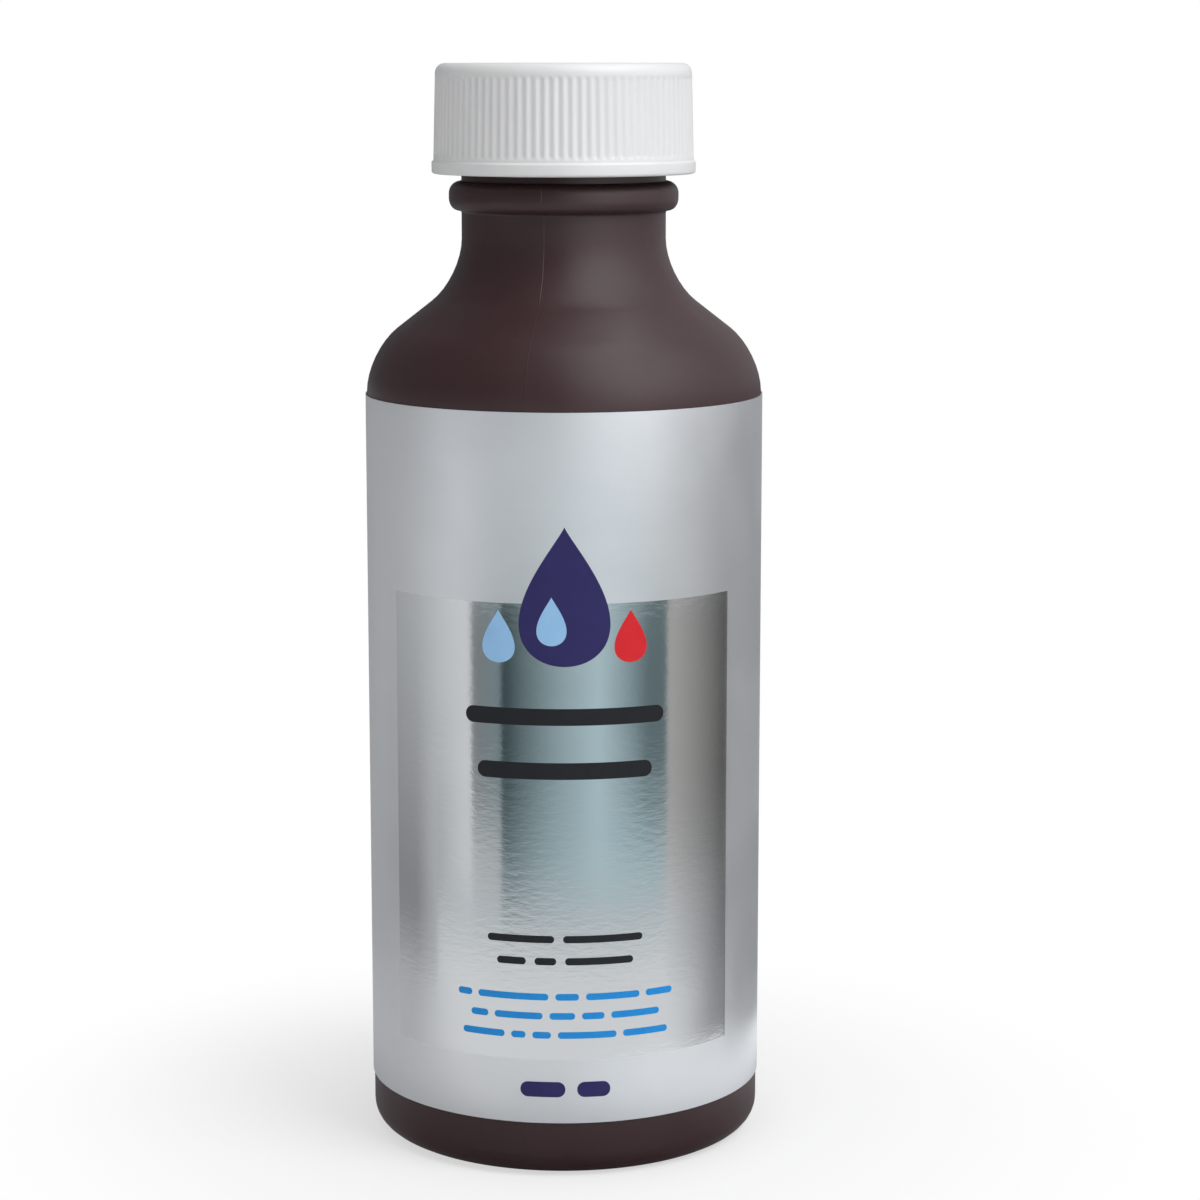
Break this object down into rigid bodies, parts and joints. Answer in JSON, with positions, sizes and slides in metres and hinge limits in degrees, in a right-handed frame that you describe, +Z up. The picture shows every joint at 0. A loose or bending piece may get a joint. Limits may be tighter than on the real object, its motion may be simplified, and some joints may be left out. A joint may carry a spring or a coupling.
{
  "type": "screw-cap medicine bottle",
  "caption": "Brown cylindrical plastic bottle with a rounded shoulder, a beaded neck, a white fluted screw cap over a foam liner, and a silver wrap-round label.",
  "frame": {"origin": "centre of the base, on the plane that the bottle stands on", "axes": "+Z up along the bottle's axis, -Y towards the middle of the label's front, +X to the right of the label as seen from the front"},
  "size_m": [0.0412, 0.0411, 0.1121],
  "materials": {
    "brown_plastic": "satin blow-moulded polyethylene",
    "white_plastic": "semi-gloss injection-moulded polypropylene",
    "liner_foam": "closed-cell polyethylene foam",
    "label_foil": "brushed metallised film, frosted where it is overprinted"
  },
  "bodies": {
    "bottle": {"bottle": "brown_plastic", "label": "label_foil"},
    "liner": {"cap_liner": "liner_foam"},
    "cap": {"cap": "white_plastic"}
  },
  "joints": [
    {"name": "cap_lift", "type": "slide", "parent": "bottle", "child": "liner", "axis": [0, 0, 1], "range_m": [0, 0.0128]},
    {"name": "cap_turn", "type": "hinge", "parent": "liner", "child": "cap", "pos_m": [0, 0, 0.106], "axis": [0, 0, 1], "range_deg": [0, 1440]}
  ],
  "couplings": [
    {"joint": "cap_lift", "follows": "cap_turn", "m_per_rad": 0.00050532}
  ]
}
